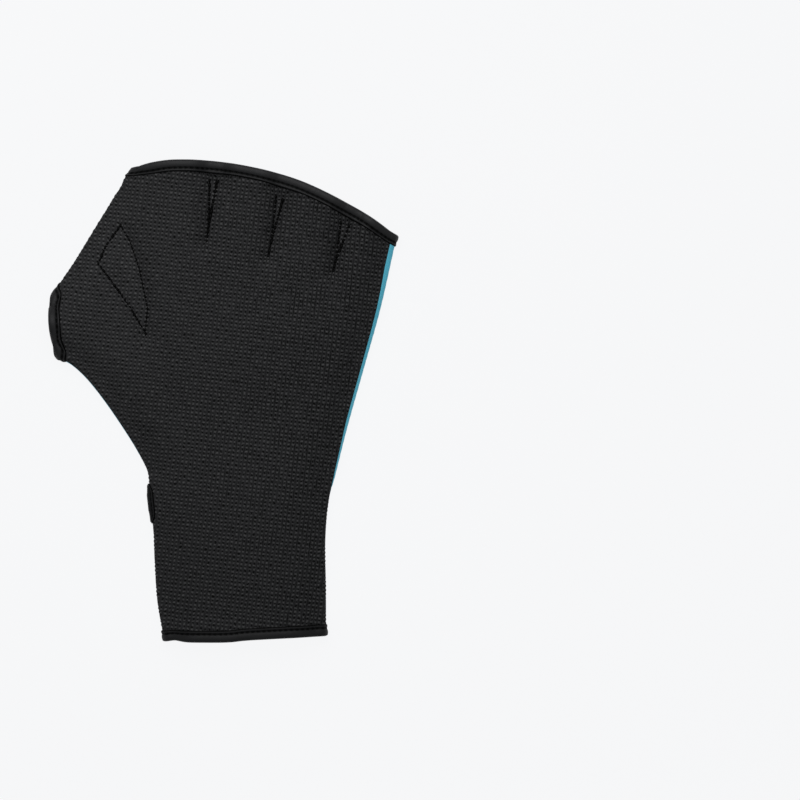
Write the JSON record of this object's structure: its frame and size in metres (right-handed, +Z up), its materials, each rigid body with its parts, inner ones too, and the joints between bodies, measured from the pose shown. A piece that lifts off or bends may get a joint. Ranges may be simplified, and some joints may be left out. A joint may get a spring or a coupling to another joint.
{
  "type": "aqua fitness glove",
  "caption": "Fingerless webbed aqua fitness glove for the left hand, lying palm up, with an embossed black palm, a blue back and taped mouths.",
  "frame": {"origin": "on the ground under the middle of the glove's box, with the back panel lying on the ground", "axes": "+X across the hand from the thumb to the little finger, +Y from the wrist to the fingertips, +Z up out of the palm"},
  "size_m": [0.175, 0.2412, 0.0152],
  "materials": {
    "palm_neoprene": "embossed black neoprene with a waffle grip, matt",
    "back_neoprene": "smooth blue jersey-faced neoprene, matt",
    "binding_tape": "folded black binding tape, slight sheen"
  },
  "bodies": {
    "root": {"palm_panel": "palm_neoprene", "back_panel": "back_neoprene", "fingertip_binding": "binding_tape", "thumb_binding": "binding_tape", "wrist_binding": "binding_tape", "wrist_slit_binding": "binding_tape"}
  },
  "joints": []
}
